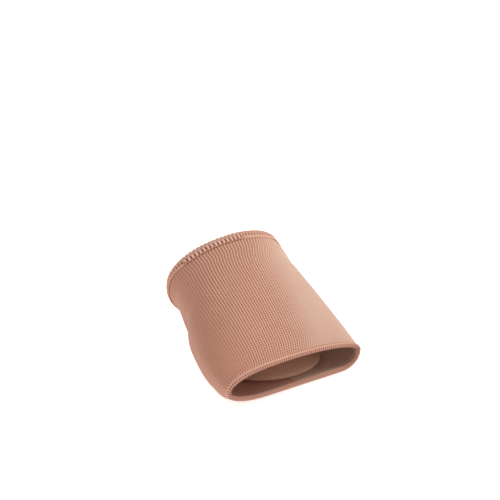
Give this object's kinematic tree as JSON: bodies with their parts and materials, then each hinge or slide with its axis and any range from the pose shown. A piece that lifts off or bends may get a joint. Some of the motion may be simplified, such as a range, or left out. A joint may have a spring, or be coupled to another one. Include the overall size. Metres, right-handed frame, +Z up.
{
  "type": "metatarsal pad",
  "caption": "Elastic knit sleeve for the forefoot, open at the ankle and toe ends, with overlocked edges and an oval cushion under the ball of the foot.",
  "frame": {"origin": "middle of the cushion's crown, where the ball of the foot presses", "axes": "+Z up out of the cushion, toes towards -Y, little toe's side towards +X, for a left foot"},
  "size_m": [0.0903, 0.097, 0.0592],
  "materials": {
    "sleeve": "ribbed elastic knit",
    "ankle_edge": "overlock thread",
    "toe_edge": "overlock thread",
    "metatarsal_pad": "soft matte gel"
  },
  "bodies": {
    "root": {"sleeve": "sleeve", "ankle_edge": "ankle_edge", "toe_edge": "toe_edge", "metatarsal_pad": "metatarsal_pad"}
  },
  "joints": []
}
